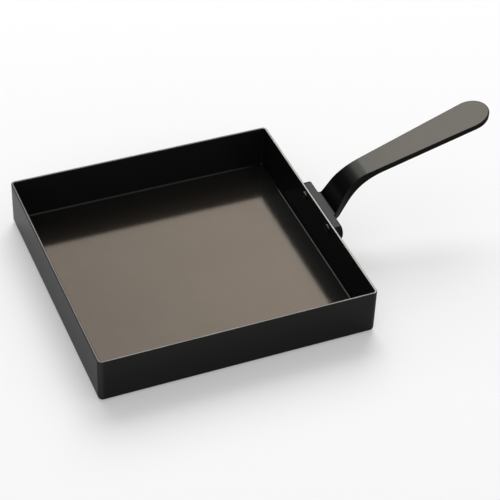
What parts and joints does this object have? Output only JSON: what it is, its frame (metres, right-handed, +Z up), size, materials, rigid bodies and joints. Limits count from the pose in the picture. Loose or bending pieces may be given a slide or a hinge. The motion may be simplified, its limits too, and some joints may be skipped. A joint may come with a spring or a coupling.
{
  "type": "tamagoyaki pan",
  "caption": "Square shallow pan for rolled omelettes: straight-walled black steel tray with a forged, upswept, waisted handle riveted to its wall by a T-shaped foot.",
  "frame": {"origin": "centre of the tray's flat underside, where the pan stands on a hob", "axes": "+Z up, +X from the tray's centre towards the handle, +Y across the tray to the left of someone looking along +X"},
  "size_m": [0.296, 0.18, 0.0831],
  "materials": {
    "tray_steel": "satin black heat-treated steel sheet",
    "handle_steel": "satin black forged steel",
    "rivet_steel": "satin black steel, slightly rubbed on the domes"
  },
  "bodies": {
    "root": {"pan_body": "tray_steel", "handle": "handle_steel", "rivet_left": "rivet_steel", "rivet_right": "rivet_steel"}
  },
  "joints": []
}
